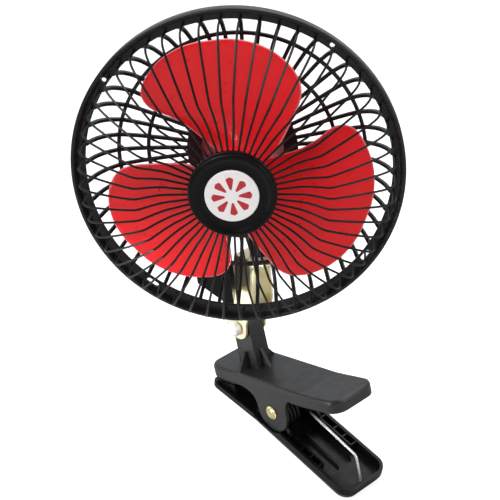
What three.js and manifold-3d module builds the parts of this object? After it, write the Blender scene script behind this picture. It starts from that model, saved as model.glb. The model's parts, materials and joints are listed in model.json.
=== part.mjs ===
// A clip fan: a caged 210 mm fan head on a tilting sheet-metal yoke, held by a spring clip.
// Millimetres, Z up. The origin is on the closed jaw line, between the two jaw pads. The clip's
// jaws point to +Y, its handles to -Y, and the head at rest looks between -Y and -X.
import * as THREE from "three";
import { mergeVertices } from "three/addons/utils/BufferGeometryUtils.js";
import Module from "manifold-3d";

const wasm = await Module();
wasm.setup();

// ---------------------------------------------------------------- driving dimensions
const restGap = 0.3; // between two pieces that touch
const runGap = 0.25; // all round a shaft in its hole

// Upper grip: an upside-down tray with two ears and the post
const gripLength = 140.5;
const gripHalfWidth = 19.5;
const gripWall = 2.4;
const gripTop = 2.6;
const skirtDepth = 9.2;
const gripCorner = 10;
const gripEdgeRound = 2.2;
const bendBeforeEnd = 38.5; // where the handle starts to rise
const bendAngle = 5;
const jawReach = 15.5; // from the origin to the end of the grip
const plateHeight = 12; // top face above the closed jaw line
const earRadius = 15.3;
const earFlare = 6; // how far the ear widens towards the handle at the skirt
const archLength = 31; // of the open arch between the jaw end and the ear
const gripRibCount = 3;
const gripRibDepth = 4.5;
const gripRibStep = 6;
const gripRibEnd = 7; // from the handle end to the last rib

// Clip pivot
const pivotFromJaw = 67.4;
const pivotDrop = 23.7; // below the top face
const pinRadius = 2.5;
const pinHeadRadius = 5.3;
const pinHeadHeight = 1.8;

// Lower grip: an open tray, drawn about the pivot
const leverAngle = 26;
const leverFront = 65.5; // from the pivot to the jaw tip
const leverBack = 81.5; // from the pivot to the handle end
const leverFloorDrop = 22.5;
const leverWall = 2.4;
const leverFloorThickness = 3.6;
const jawHalfWidth = 19.5;
const trayHalfWidth = 21.5;
const trayRound = 6; // of the tray's bottom edge
const trayCorner = 11;
const rimDrop = 11; // of the tray's rim below the pivot
const jawEdgeRound = 2;
const jawWallHeight = 6;
const jawBendStart = 15;
const jawBendAngle = 5.5;
const leverEarHalf = 16.4; // outside of the lower grip's ears
const leverEarRadius = 9.5;
const earGap = 0.5; // between the upper ears and the tray
const spineHeight = 1.2;
const channelHalfWidth = 4.2;
const channelOffset = 6.3; // from the middle to each channel's middle
const channelDepth = 2.4;
const channelStart = 17;
const channelEnd = 58;
const railThickness = 1.2;
const railOffset = 13.4; // from the middle to each rail
const railStart = 17.5;
const pocketRibCount = 3;
const pocketRibStep = 9.4;

// Jaw pads
const padHalfWidth = 14.4;
const padLength = 18;
const padThickness = 3;
const padForward = 3.5; // middle of the pads, ahead of the origin
const padTeeth = 7;
const toothDepth = 0.8;

// Clip spring
const springWire = 2;
const springRadius = 10.3; // to the middle of the wire
const springStart = 0.5; // sideways place of the lower leg
const springEnd = -12.2; // sideways place of the upper leg
const springTurns = 4;
const springSag = 5.1; // of the curls' middle below the pin
const springBack = 2.4; // of the curls' middle towards the jaws
const lowerLegReach = 65.2; // from the curls to the lower bend
const lowerLegAngle = 29.4; // below level
const upperLegAngle = 80; // above level
const upperTipLength = 30;

// Post and tilt joint
const postFromJaw = 34.5;
const postDepth = 19;
const postHalfWidth = 6.7;
const boltHeight = 34; // above the top face
const boltRadius = 2.6;
const gussetHeight = 15;
const gussetReach = 7.5;
const sideGussetHeight = 12;
const sideGussetTop = 2.4; // how far its top stands off the post
const gussetThickness = 2.6;
const washerThickness = 1;
const washerRadius = 7.5;
const boltHeadRadius = 5.5;
const boltHeadHeight = 3.4;
const thumbNutRadius = 6.2;
const thumbNutHeight = 6.5;
const thumbNutSkirt = 2.4;
const thumbNutRoof = 1.8;
const thumbNutFlutes = 6;

// Yoke
const tiltAngle = 6.6;
const sheet = 1.6;
const yokeEarRadius = 10;
const webHeight = 62; // top of the web above the bolt
const swivelForward = 26.3; // swivel axis ahead of the bolt
const armFront = 22.5; // front edge of the arms, ahead of the bolt
const armRise = 28; // where that edge begins, above the bolt
const webRear = 9.5;
const webFront = 35;

// Swivel
const swivelAngle = 45.9;
const headHeight = 148; // fan axis above the bolt
const swivelShaftRadius = 3;
const swivelShaftUp = 26; // above the web
const swivelShaftDown = 7; // below the web
const bushWall = 1.3;
const bushFlange = 1;
const bushFlangeRadius = 7.5;
const clipThickness = 1;
const clipRadius = 6.2;

// Head, measured from the front plane of the rim along the fan axis
const swivelBehindRim = 60;
const rimRadius = 105;
const rimWidth = 8.4;
const rimInner = rimRadius - rimWidth;
const rimDepth = 9.5;
const rimLedge = 2.1;
const rimWall = 2.4;
const rimHoleAngle = 54;
const rimHoleRadius = 1.6;
const rimSlotLength = 9;
const ribCount = 48;
const ribWidth = 2.4;
const ribThickness = 2.4;
const outerRing = { radius: 80.2, behind: 36 };
const innerRing = { radius: 61.4, behind: 40.45 };
const ribShoulder = { inside: 4.4, behind: 23.4 }; // where the ribs turn inwards
const guardBack = 43.7; // middle of the hub ring behind the rim
const guardHubInner = 27;
const guardHubOuter = 36.5;
const guardHubThickness = 3;
const guardScrewRadius = 1.5;
const guardScrewCircle = 30.4;
const guardScrewCount = 3;

const wireCount = 53;
const wireRadius = 0.82;
const wireHub = 29; // middle of the wires at the hub, ahead of the rim
const wireHubInner = 19.5;
const wireHubOuter = 27.2;
const wireHubThickness = 3;
const wireKinkRadius = 59;
const wireKink = 34;
const wireInset = { radius: 44, ahead: 28.6 }; // inside the kink
const wireSlope = { radius: 74, ahead: 28.6 }; // outside the kink
const wireShoulder = { radius: 90, ahead: 20.2 };
const wireFoot = 10.6; // ahead of the rim, where the wires turn back
const wireEndOnRim = 2.5; // from the rim's inner edge to the wires' ends
const wireEndRadius = rimInner + wireEndOnRim;

const capRadius = 27;
const capHeight = 3.8;
const badgeRadius = 16.6;
const badgeThickness = 1.8;

const bladeCount = 3;
const bladeTip = 86.2;
const bladeThickness = 1.7;
const bladeMiddle = -1.5; // height of the blade that points up, at its middle
const bladePitch = 0.235; // fall for each degree round the axis
const bladeHalfway = 90; // degrees round the axis to the blade's middle
const propHubRadius = 17;
const propHubFront = 15;
const propHubBack = -17;

const shaftRadius = 1.6;
const motorRadius = 22;
const motorWall = 1.4;
const motorLength = 42;
const mountRadius = 29.5;
const mountThickness = 2.7;
const bearingRadius = 4.2;
const bearingLength = 4;
const armatureRadius = 16;
const armaturePoles = 5;
const magnetThickness = 3;

const shellRadius = 29.5;
const shellWall = 2;
const shellDepth = 55;
const shellVents = 8;
const ventWidth = 3;
const ventLength = 20;
const housingHalfWidth = 15;
const housingFront = 50; // behind the rim plane
const housingBack = 76;
const housingDrop = 64; // below the fan axis
const columnRadius = 7;

const knobRadius = 5.5;
const knobStemRadius = 2;
const knobBehindRim = 84;
const knobTop = 40;

const switchBoxInner = 21; // left of the fan axis
const switchBoxOuter = 44;
const switchBoxFront = 44;
const switchBoxBack = 66;
const switchBoxDrop = 114;
const switchBoxSlant = 18; // height of the slanted corner
const rockerHalfWidth = 4.4;
const rockerHalfHeight = 7.4;
const rockerTilt = 8;
const rockerDrop = 82;

const glandRadius = 5;
const glandLength = 12;
const glandBore = 2;
const glandDrop = 54;

const smooth = 16; // sides of a small round piece
const fine = 26; // sides of a large round piece
const rimSides = 48;

// ---------------------------------------------------------------- derived places
const pivotY = jawReach - pivotFromJaw;
const pivotZ = plateHeight - pivotDrop;
const boltY = jawReach - postFromJaw;
const boltZ = plateHeight + boltHeight;
const armInner = postHalfWidth + washerThickness + 2 * restGap;
const armOuter = armInner + sheet;
const guardHubBack = -guardBack - guardHubThickness / 2;
const mountFront = guardHubBack - restGap;
const mountBack = mountFront - mountThickness;
const motorBack = mountBack - restGap - motorLength;
const shellFront = mountBack - restGap;
const shellBack = shellFront - shellDepth;
const webBelowAxis = webHeight - headHeight;
const columnBottom = webBelowAxis + 2 * restGap + bushFlange;
const capBack = wireHub + wireHubThickness / 2 + restGap;

const rad = THREE.MathUtils.degToRad;

// ---------------------------------------------------------------- materials
function finish(color, roughness, metalness) {
  return new THREE.MeshStandardMaterial({ color, roughness, metalness });
}
const gripPlastic = finish(0x2b2b2d, 0.55, 0);
const guardPlastic = finish(0x151517, 0.35, 0);
const capPlastic = finish(0x1a1a1c, 0.45, 0);
const redPlastic = finish(0xd02030, 0.2, 0);
const whitePlastic = finish(0xe9e9ec, 0.35, 0);
const rubber = finish(0x101011, 0.85, 0);
const zinc = finish(0xd8bd74, 0.3, 0.9);
const brass = finish(0xe0cf78, 0.25, 0.9);
const nickel = finish(0xd9dadd, 0.2, 0.95);
const springSteel = finish(0x6d7074, 0.3, 0.9);
const motorSteel = finish(0x9a9da1, 0.4, 0.85);
const bronze = finish(0x9c7a45, 0.45, 0.8);
const magnetGrey = finish(0x3b3b3f, 0.7, 0.1);
const nylon = finish(0xe4e1d6, 0.5, 0);

// ---------------------------------------------------------------- helpers
function signedVolume(position, index) {
  const a = new THREE.Vector3();
  const b = new THREE.Vector3();
  const c = new THREE.Vector3();
  let sum = 0;
  for (let i = 0; i < index.length; i += 3) {
    a.fromBufferAttribute(position, index[i]);
    b.fromBufferAttribute(position, index[i + 1]);
    c.fromBufferAttribute(position, index[i + 2]);
    sum += a.dot(b.cross(c));
  }
  return sum;
}

// A closed geometry as a solid, with its shared corners merged and its faces pointing out.
function solid(geometry) {
  geometry.deleteAttribute("normal");
  geometry.deleteAttribute("uv");
  const merged = mergeVertices(geometry, 1e-4);
  const position = merged.getAttribute("position");
  const kept = [];
  for (let i = 0; i < merged.index.count; i += 3) {
    const [a, b, c] = [0, 1, 2].map((k) => merged.index.getX(i + k));
    if (a !== b && b !== c && c !== a) kept.push(a, b, c);
  }
  if (signedVolume(position, kept) < 0) kept.reverse();
  const triVerts = new Uint32Array(kept);
  const vertProperties = new Float32Array(position.array);
  return new wasm.Manifold(new wasm.Mesh({ numProp: 3, vertProperties, triVerts }));
}

function piece(name, body, material) {
  const data = body.getMesh();
  const geometry = new THREE.BufferGeometry();
  geometry.setAttribute("position", new THREE.BufferAttribute(data.vertProperties, 3));
  geometry.setIndex(new THREE.BufferAttribute(data.triVerts, 1));
  geometry.computeVertexNormals();
  const mesh = new THREE.Mesh(geometry, material);
  mesh.name = name;
  return mesh;
}

function joined(bodies) {
  return bodies.reduce((sum, body) => sum.add(body));
}

function block(x0, x1, y0, y1, z0, z1) {
  const geometry = new THREE.BoxGeometry(x1 - x0, y1 - y0, z1 - z0);
  geometry.translate((x0 + x1) / 2, (y0 + y1) / 2, (z0 + z1) / 2);
  return solid(geometry);
}

function outline(points) {
  return new THREE.Shape(points.map(([x, y]) => new THREE.Vector2(x, y)));
}

// A closed profile of [radius, height] turned about the Z axis.
function turnedGeometry(profile, sides = smooth) {
  const points = [...profile, profile[0]].map(([r, z]) => new THREE.Vector2(r, z));
  return new THREE.LatheGeometry(points, sides).rotateX(Math.PI / 2);
}

function turned(profile, sides) {
  return solid(turnedGeometry(profile, sides));
}

function disc(radius, z0, z1, sides = smooth) {
  return turned([[0, z0], [radius, z0], [radius, z1], [0, z1]], sides);
}

function tube(inner, outer, z0, z1, sides = smooth) {
  return turned([[inner, z0], [outer, z0], [outer, z1], [inner, z1]], sides);
}

// The same turned profile, lying along the X axis.
function turnedAlongX(profile, sides) {
  return solid(turnedGeometry(profile, sides).rotateY(Math.PI / 2));
}

function barAlongX(radius, x0, x1, sides = smooth) {
  return turnedAlongX([[0, x0], [radius, x0], [radius, x1], [0, x1]], sides);
}

// The same turned profile, standing along the Y axis.
function turnedAlongY(profile, sides) {
  return solid(turnedGeometry(profile, sides).rotateX(-Math.PI / 2));
}

function extruded(shape, depth, curveSegments = 6) {
  return new THREE.ExtrudeGeometry(shape, { depth, bevelEnabled: false, curveSegments });
}

// A side view drawn as [towards the handles, up], cut from x0 to x1.
const sideView = new THREE.Matrix4().makeBasis(
  new THREE.Vector3(0, -1, 0),
  new THREE.Vector3(0, 0, 1),
  new THREE.Vector3(-1, 0, 0),
);
function sideCut(shape, x0, x1, curveSegments) {
  const geometry = extruded(shape, x1 - x0, curveSegments);
  geometry.applyMatrix4(sideView).translate(x1, 0, 0);
  return solid(geometry);
}

// A bar of constant section along a path. The section is [along reference, across] pairs.
function sweep(path, section, reference) {
  const sides = section.length;
  const vertices = [];
  const faces = [];
  path.forEach((point, i) => {
    const before = point.clone().sub(path[Math.max(i - 1, 0)]).normalize();
    const after = path[Math.min(i + 1, path.length - 1)].clone().sub(point).normalize();
    const tangent = before.clone().add(after).normalize();
    const stretch = 1 / Math.max(0.5, tangent.dot(i === 0 ? after : before));
    const along = reference.clone().addScaledVector(tangent, -reference.dot(tangent)).normalize();
    const across = tangent.clone().cross(along);
    for (const [p, q] of section) {
      const corner = point.clone().addScaledVector(along, p).addScaledVector(across, q * stretch);
      vertices.push(...corner.toArray());
    }
  });
  for (let i = 0; i + 1 < path.length; i++) {
    for (let k = 0; k < sides; k++) {
      const next = (k + 1) % sides;
      const [a, b] = [i * sides + k, i * sides + next];
      const [c, d] = [b + sides, a + sides];
      faces.push(a, b, c, a, c, d);
    }
  }
  const last = (path.length - 1) * sides;
  for (let k = 1; k + 1 < sides; k++) {
    faces.push(0, k + 1, k, last, last + k, last + k + 1);
  }
  return fromFaces(vertices, faces);
}

function fromFaces(vertices, faces) {
  const geometry = new THREE.BufferGeometry();
  geometry.setAttribute("position", new THREE.Float32BufferAttribute(vertices, 3));
  geometry.setIndex(faces);
  return geometry;
}

function polygonSection(radius, sides) {
  return Array.from({ length: sides }, (_, k) => {
    const angle = (2 * Math.PI * k) / sides;
    return [radius * Math.cos(angle), radius * Math.sin(angle)];
  });
}

function aroundZ(body, degrees) {
  return body.rotate([0, 0, degrees]);
}

// ---------------------------------------------------------------- upper grip
// Seen from above: a long plate with round corners. Inset shrinks it on every side.
function gripPlan(inset) {
  const half = gripHalfWidth - inset;
  const front = jawReach - inset;
  const back = jawReach - gripLength + inset;
  const corner = gripCorner - inset;
  const shape = new THREE.Shape();
  shape.moveTo(-half + corner, back);
  shape.lineTo(half - corner, back);
  shape.absarc(half - corner, back + corner, corner, -Math.PI / 2, 0);
  shape.lineTo(half, front - corner);
  shape.absarc(half - corner, front - corner, corner, 0, Math.PI / 2);
  shape.lineTo(-half + corner, front);
  shape.absarc(-half + corner, front - corner, corner, Math.PI / 2, Math.PI);
  shape.lineTo(-half, back + corner);
  shape.absarc(-half + corner, back + corner, corner, Math.PI, 1.5 * Math.PI);
  return shape;
}

function gripTray() {
  const round = gripEdgeRound;
  const skin = new THREE.ExtrudeGeometry(gripPlan(round), {
    depth: skirtDepth,
    bevelThickness: round,
    bevelSize: round,
    bevelSegments: 2,
    curveSegments: 4,
  });
  skin.translate(0, 0, plateHeight - round - skirtDepth);
  const cavity = extruded(gripPlan(gripWall), skirtDepth, 4);
  cavity.translate(0, 0, plateHeight - gripTop - skirtDepth);
  const far = gripLength;
  const skirtEdge = plateHeight - skirtDepth;
  const below = block(-far, far, -far * 2, far, -far, skirtEdge);
  return solid(skin).subtract(solid(cavity)).subtract(below);
}

function gripUnderRibs() {
  const top = plateHeight - gripTop + restGap;
  const half = gripHalfWidth - gripWall / 2;
  return Array.from({ length: gripRibCount }, (_, i) => {
    const y = jawReach - gripLength + gripRibEnd + i * gripRibStep;
    return block(-half, half, y - gripWall / 3, y + gripWall / 3, top - gripRibDepth, top);
  });
}

// Bends a grip: on the given side of bendY every point rises or sinks with its distance from it.
function bent(body, bendY, side, slope) {
  const far = 2 * gripLength;
  const beyond = side > 0 ? block(-far, far, bendY, far, -far, far)
    : block(-far, far, -far, bendY, -far, far);
  const data = body.intersect(beyond).getMesh();
  const vertices = Array.from(data.vertProperties);
  for (let i = 0; i < vertices.length; i += 3) {
    vertices[i + 2] += Math.abs(bendY - vertices[i + 1]) * slope;
  }
  const moved = solid(fromFaces(vertices, Array.from(data.triVerts)));
  return body.subtract(beyond).add(moved);
}

function gripEar(side) {
  const [p, drop] = [pivotFromJaw, -pivotDrop];
  const seat = -skirtDepth + gripWall;
  const front = p - earRadius;
  const back = p + earRadius;
  const shape = new THREE.Shape();
  shape.moveTo(archLength, seat);
  shape.lineTo(archLength, -skirtDepth);
  shape.quadraticCurveTo(front + 1, -skirtDepth, front, drop);
  shape.absarc(p, drop, earRadius, Math.PI, 2 * Math.PI);
  shape.quadraticCurveTo(back + 1, drop / 2, back + earFlare, -skirtDepth);
  shape.lineTo(back + earFlare, seat);
  const inner = gripHalfWidth - gripWall - 0.2;
  const x0 = side > 0 ? inner : -gripHalfWidth;
  const ear = sideCut(shape, x0, x0 + gripHalfWidth - inner, 8);
  return ear.translate([0, jawReach, plateHeight]);
}

function post() {
  const half = postDepth / 2;
  const base = -gripTop + restGap;
  const shape = new THREE.Shape();
  shape.moveTo(-half - 0.6, base);
  shape.lineTo(half + 0.6, base);
  shape.lineTo(half, boltHeight);
  shape.absarc(0, boltHeight, half, 0, Math.PI);
  const column = sideCut(shape, -postHalfWidth, postHalfWidth, 6);
  const reach = half + gussetReach;
  const front = outline([[0, base], [reach, base], [reach, 0], [half, gussetHeight], [0, gussetHeight]]);
  const frontRib = sideCut(front, -gussetThickness / 2, gussetThickness / 2);
  const rear = half + gussetReach + 1.5;
  const back = outline([[0, base], [0, gussetHeight], [-half, gussetHeight], [-rear, 0], [-rear, base]]);
  const backRib = sideCut(back, -gussetThickness / 2, gussetThickness / 2);
  const wide = gripHalfWidth - gripEdgeRound;
  const across = outline([
    [-wide, base], [wide, base], [wide, 0], [postHalfWidth + sideGussetTop, sideGussetHeight],
    [-postHalfWidth - sideGussetTop, sideGussetHeight], [-wide, 0],
  ]);
  const sideRib = extruded(across, gussetThickness).rotateX(Math.PI / 2);
  sideRib.translate(0, gussetThickness / 2, 0);
  const whole = joined([column, frontRib, backRib, solid(sideRib)]);
  return whole.translate([0, boltY, plateHeight]);
}

// Three cross ribs that the upper jaw pad bears on.
function upperSeat() {
  const half = gripHalfWidth - gripWall - 0.1;
  const low = padThickness + 1.5 * restGap;
  const top = plateHeight - gripTop + restGap;
  return [-1, 0, 1].map((i) => {
    const y = padForward + (i * (padLength - 3)) / 2;
    return block(-half + 1.5, half - 1.5, y - 0.8, y + 0.8, low, top);
  });
}

function upperGrip() {
  const flat = joined([gripTray(), ...gripUnderRibs(), ...upperSeat()]);
  const bendY = jawReach - gripLength + bendBeforeEnd;
  const tray = bent(flat, bendY, -1, Math.tan(rad(bendAngle)));
  const body = joined([tray, gripEar(1), gripEar(-1), post()]);
  const pinHole = barAlongX(pinRadius + runGap, -gripLength, gripLength);
  const boltHole = barAlongX(boltRadius + runGap, -gripLength, gripLength);
  return body
    .subtract(pinHole.translate([0, pivotY, pivotZ]))
    .subtract(boltHole.translate([0, boltY, boltZ]));
}

// ---------------------------------------------------------------- lower grip
// Everything here is drawn about the pivot: s runs to the handle end, t is up.
const leverFloor = -leverFloorDrop;
const leverInside = leverFloor + leverFloorThickness;

// A plan with four round corners, from s0 to s1.
function trayPlan(half, s0, s1, corner) {
  const shape = new THREE.Shape();
  shape.moveTo(half, -s0 - corner);
  shape.absarc(half - corner, -s0 - corner, corner, 0, Math.PI / 2);
  shape.absarc(corner - half, -s0 - corner, corner, Math.PI / 2, Math.PI);
  shape.absarc(corner - half, -s1 + corner, corner, Math.PI, 1.5 * Math.PI);
  shape.absarc(half - corner, -s1 + corner, corner, 1.5 * Math.PI, 2 * Math.PI);
  return shape;
}

// A block on that plan with its bottom edge rounded, from t0 up to t1.
function tub(half, s0, s1, corner, round, t0, t1) {
  const inner = trayPlan(half - round, s0 + round, s1 - round, corner - round);
  const geometry = new THREE.ExtrudeGeometry(inner, {
    depth: t1 - t0,
    bevelThickness: round,
    bevelSize: round,
    bevelSegments: 2,
    curveSegments: 3,
  });
  const far = 2 * leverBack;
  const above = block(-far, far, -far, far, t1, far);
  return solid(geometry.translate(0, 0, t0 + round)).subtract(above);
}

const trayStart = -2 * trayCorner;
function traySkin() {
  return tub(trayHalfWidth, trayStart, leverBack, trayCorner, trayRound, leverFloor, -rimDrop);
}

function trayShell() {
  const wall = leverWall;
  const jaw = tub(jawHalfWidth, -leverFront, -trayStart, jawEdgeRound * 3, jawEdgeRound,
    leverFloor, leverFloor + jawWallHeight);
  const handleRoom = tub(trayHalfWidth - wall, trayStart + wall, leverBack - wall,
    trayCorner - wall, trayRound - wall, leverInside, 0);
  const jawRoom = tub(jawHalfWidth - wall, -leverFront + wall, -trayStart - wall,
    jawEdgeRound * 3 - wall, jawEdgeRound / 2, leverInside, 0);
  const far = 2 * leverBack;
  const front = block(-far, far, jawBendStart / 3, far, leverFloor + jawWallHeight, far);
  return traySkin().subtract(front).add(jaw).subtract(handleRoom).subtract(jawRoom);
}

// The seat of the lower jaw pad lies level when the clip is closed.
function jawSeat() {
  const half = padHalfWidth + 1.5;
  const seatTop = -restGap * 1.5 - padThickness;
  const depth = 26;
  const y0 = padForward - padLength / 2 - 1.5;
  const y1 = jawReach + padThickness;
  const wedge = block(-half, half, y0, y1, seatTop - depth, seatTop);
  return wedge.translate([0, -pivotY, -pivotZ]).rotate([-leverAngle, 0, 0]);
}

// One of the two round-ended channels sunk in the floor under the handle.
function floorChannel(side) {
  const r = channelHalfWidth;
  const x = side * channelOffset;
  const shape = new THREE.Shape();
  shape.moveTo(x + r, -channelStart - r);
  shape.absarc(x, -channelStart - r, r, 0, Math.PI);
  shape.lineTo(x - r, -channelEnd + r);
  shape.absarc(x, -channelEnd + r, r, Math.PI, 2 * Math.PI);
  return solid(extruded(shape, channelDepth + 1, 4).translate(0, 0, leverInside - channelDepth));
}

// A plate on each side that carries the pin, standing on the floor.
function leverEar(side) {
  const foot = leverFloor + leverWall / 2;
  const shape = new THREE.Shape();
  shape.moveTo(-railStart, foot);
  shape.lineTo(railStart + railThickness, foot);
  shape.lineTo(railStart + railThickness, -rimDrop - 1);
  shape.quadraticCurveTo(leverEarRadius + 1, -leverEarRadius, leverEarRadius, 0);
  shape.absarc(0, 0, leverEarRadius, 0, Math.PI);
  shape.quadraticCurveTo(-leverEarRadius, -leverEarRadius, -railStart, -leverEarRadius - 4);
  const inner = leverEarHalf - leverWall;
  const x0 = side > 0 ? inner : -leverEarHalf;
  return sideCut(shape, x0, x0 + leverWall, 5);
}

// The rail, the cross ribs of the pockets and the tray's front wall on one side.
function leverPockets(side) {
  const lastRib = leverBack / 2 + pocketRibStep;
  const foot = leverFloor + leverWall / 2;
  const top = -rimDrop - 0.6;
  const across = (x0, x1, s0, s1) => (side > 0
    ? block(x0, x1, -s1, -s0, foot, top)
    : block(-x1, -x0, -s1, -s0, foot, top));
  const wall = trayHalfWidth - leverWall / 2;
  const ribs = Array.from({ length: pocketRibCount }, (_, i) => {
    const at = lastRib - i * pocketRibStep;
    return across(railOffset, wall, at - railThickness / 2, at + railThickness / 2);
  });
  const rail = across(
    railOffset, railOffset + railThickness, railStart, lastRib + railThickness / 2,
  );
  const front = across(railOffset, wall, railStart, railStart + leverWall / 2);
  return joined([rail, front, ...ribs]).intersect(traySkin());
}

function lowerGrip() {
  const far = 2 * leverBack;
  const room = leverEarHalf;
  const reach = earRadius + earGap;
  const earRoom = joined([barAlongX(reach, room, far, fine), barAlongX(reach, -far, -room, fine)]);
  const top = leverInside + spineHeight;
  const spine = sideCut(outline([
    [channelStart, leverFloor + 1], [channelStart, top], [channelStart + 8, top],
    [channelEnd, leverInside], [channelEnd, leverFloor + 1],
  ]), -1.2, 1.2);
  const shell = trayShell().subtract(floorChannel(1)).subtract(floorChannel(-1));
  const seated = bent(shell, jawBendStart, 1, -Math.tan(rad(jawBendAngle)));
  const seatRoom = block(
    -jawHalfWidth, jawHalfWidth, 0, leverFront - leverWall / 2, leverFloor + leverWall / 2, 0,
  );
  const seat = bent(seatRoom, jawBendStart, 1, -Math.tan(rad(jawBendAngle))).intersect(jawSeat());
  const sides = [-1, 1].map((side) => leverPockets(side));
  const ears = [-1, 1].map((side) => leverEar(side));
  return joined([seated, seat, spine, ...sides])
    .subtract(earRoom)
    .add(joined(ears))
    .subtract(barAlongX(pinRadius + runGap, -far, far));
}

// ---------------------------------------------------------------- jaw pads, pin, spring
function toothedPad(back, face, up) {
  const step = padLength / padTeeth;
  const start = -padLength / 2;
  const points = [[start, back]];
  for (let i = 0; i < padTeeth; i++) {
    points.push([start + i * step, face], [start + (i + 0.7) * step, face]);
    if (i + 1 < padTeeth) points.push([start + (i + 0.85) * step, face - up * toothDepth]);
  }
  points.push([-start, face], [-start, back]);
  return sideCut(outline(points), -padHalfWidth, padHalfWidth);
}

function pivotPin() {
  const end = gripHalfWidth + restGap;
  return turnedAlongX([
    [0, -end - pinHeadHeight], [pinHeadRadius * 0.6, -end - pinHeadHeight],
    [pinHeadRadius, -end - pinHeadHeight * 0.4], [pinHeadRadius, -end], [pinRadius, -end],
    [pinRadius, end + 2.6], [0, end + 2.6],
  ]);
}

function pinCap() {
  const start = gripHalfWidth + restGap;
  return turnedAlongX([
    [pinRadius + runGap, start], [pinHeadRadius, start], [pinHeadRadius, start + 0.8],
    [pinHeadRadius * 0.7, start + 1.8], [pinRadius + runGap, start + 1.8],
  ]);
}

// One unbroken wire: a leg on the lower grip, the curls round the pin, a leg under the upper grip.
function springPath() {
  const lowerAim = rad(-lowerLegAngle);
  const upperAim = rad(upperLegAngle);
  const startAngle = Math.PI / 2 + lowerAim;
  const endAngle = upperAim - Math.PI / 2 + 2 * Math.PI * springTurns;
  const steps = Math.round(((endAngle - startAngle) / (2 * Math.PI)) * 8);
  const coil = Array.from({ length: steps + 1 }, (_, i) => {
    const share = i / steps;
    const angle = startAngle + share * (endAngle - startAngle);
    const x = springStart + share * (springEnd - springStart);
    const s = -springBack + springRadius * Math.cos(angle);
    return [s, -springSag + springRadius * Math.sin(angle), x];
  });
  const [s0, t0, x0] = coil[0];
  const lowerEnd = [
    s0 + lowerLegReach * Math.cos(lowerAim), t0 + lowerLegReach * Math.sin(lowerAim), x0,
  ];
  const tilt = rad(leverAngle);
  const floorGap = restGap + (springWire / 2) * Math.sin(tilt);
  const foot = [lowerEnd[0], (leverInside + floorGap) / Math.cos(tilt) - lowerEnd[0] * Math.tan(tilt), x0];
  const [s1, t1, x1] = coil[coil.length - 1];
  const underPlate = pivotDrop - gripTop - springWire / 2 - restGap;
  const bend = [s1 + (underPlate - t1) / Math.tan(upperAim), underPlate, x1];
  const tip = [bend[0] + upperTipLength, underPlate, x1];
  return [foot, lowerEnd, ...coil, bend, tip].map(
    ([s, t, x]) => new THREE.Vector3(x, pivotY - s, pivotZ + t),
  );
}

function leastCoilGap(path) {
  let least = Infinity;
  for (let i = 2; i + 2 < path.length; i++) {
    for (let k = i + 5; k + 2 < path.length; k++) {
      least = Math.min(least, path[i].distanceTo(path[k]));
    }
  }
  return least - springWire;
}

function clipSpring() {
  const path = springPath();
  console.log(`clip spring: least gap between curls ${leastCoilGap(path).toFixed(2)} mm`);
  return solid(sweep(path, polygonSection(springWire / 2, 5), new THREE.Vector3(1, 0, 0)));
}

// ---------------------------------------------------------------- tilt joint and yoke
// Drawn about the bolt: forward is towards the handles.
function yokeArm(x0) {
  const top = webHeight;
  const shape = new THREE.Shape();
  shape.moveTo(yokeEarRadius, 0);
  shape.quadraticCurveTo(yokeEarRadius, 7, 17, 15);
  shape.quadraticCurveTo(armFront, armRise - 8, armFront, armRise);
  shape.lineTo(armFront + 1, top - 16);
  shape.quadraticCurveTo(armFront + 2, top - 5, webFront, top - sheet);
  shape.lineTo(webFront, top);
  shape.lineTo(webRear, top);
  shape.lineTo(-yokeEarRadius + 4.5, 17);
  shape.quadraticCurveTo(-yokeEarRadius, 9, -yokeEarRadius, 0);
  shape.absarc(0, 0, yokeEarRadius, Math.PI, 2 * Math.PI);
  return sideCut(shape, x0, x0 + sheet, 5);
}

function yoke() {
  const web = block(-armOuter, armOuter, -webFront, -webRear, webHeight - sheet, webHeight);
  const nose = disc(armOuter, webHeight - sheet, webHeight, fine).translate([0, -webFront, 0]);
  const body = joined([yokeArm(-armOuter), yokeArm(armInner), web, nose]);
  const bushHole = disc(swivelShaftRadius + runGap + bushWall + runGap, 0, webHeight * 2);
  return body
    .subtract(barAlongX(boltRadius + runGap, -webHeight, webHeight))
    .subtract(bushHole.translate([0, -swivelForward, 0]));
}

function tiltBolt() {
  const seat = armOuter + restGap;
  const thread = armOuter + thumbNutHeight - thumbNutRoof;
  return turnedAlongX([
    [0, -thread], [boltRadius, -thread], [boltRadius, seat], [boltHeadRadius, seat],
    [boltHeadRadius, seat + boltHeadHeight * 0.6], [boltHeadRadius * 0.6, seat + boltHeadHeight],
    [0, seat + boltHeadHeight],
  ]);
}

function tiltWasher(side) {
  const start = postHalfWidth + restGap;
  const [x0, x1] = side > 0 ? [start, start + washerThickness] : [-start - washerThickness, -start];
  return turnedAlongX([
    [boltRadius + runGap, x0], [washerRadius, x0], [washerRadius, x1], [boltRadius + runGap, x1],
  ]);
}

// A domed nut for the fingers, fluted round its skirt.
function thumbNut() {
  const start = armOuter + restGap;
  const end = start + thumbNutHeight;
  const r = thumbNutRadius;
  const skirtEnd = start + thumbNutSkirt;
  const body = turnedAlongX([
    [0, -end], [r * 0.45, -end + 0.2], [r * 0.75, -end + 1], [r * 0.95, -end + 2.4],
    [r, -skirtEnd - 0.5], [r, -start - 0.6], [r - 1, -start], [boltRadius + runGap, -start],
    [boltRadius + runGap, -end + thumbNutRoof], [0, -end + thumbNutRoof],
  ], 20);
  const flutes = Array.from({ length: thumbNutFlutes }, (_, i) => {
    const angle = (2 * Math.PI * i) / thumbNutFlutes;
    const flute = barAlongX(0.9, -skirtEnd, -start + 1, 4);
    return flute.translate([0, (r + 0.3) * Math.cos(angle), (r + 0.3) * Math.sin(angle)]);
  });
  return body.subtract(joined(flutes));
}

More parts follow.
